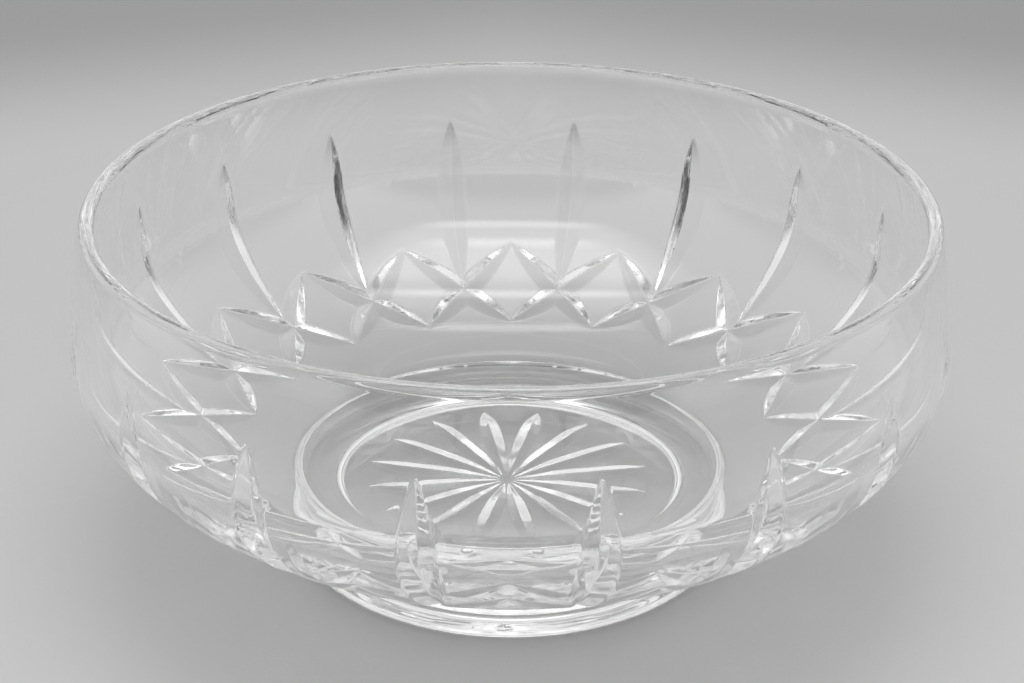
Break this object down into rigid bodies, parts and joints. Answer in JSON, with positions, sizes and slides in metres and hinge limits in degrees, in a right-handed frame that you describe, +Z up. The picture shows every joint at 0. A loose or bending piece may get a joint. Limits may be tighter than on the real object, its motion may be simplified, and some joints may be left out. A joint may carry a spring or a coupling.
{
  "type": "cut glass bowl",
  "caption": "Round footed serving bowl of clear cut glass, with upright mitre cuts over a band of crossed cuts and a star cut under the base.",
  "frame": {"origin": "centre of the foot's contact ring, on the plane that the bowl stands on", "axes": "+Z up along the bowl's axis, +X through the middle of one upright cut"},
  "size_m": [0.2082, 0.2084, 0.0884],
  "materials": {
    "clear_crystal": "clear colourless glass, fire-polished lip, polished mitre cuts, foot ring ground and worn"
  },
  "bodies": {
    "root": {"bowl_body": "clear_crystal", "foot": "clear_crystal"}
  },
  "joints": []
}
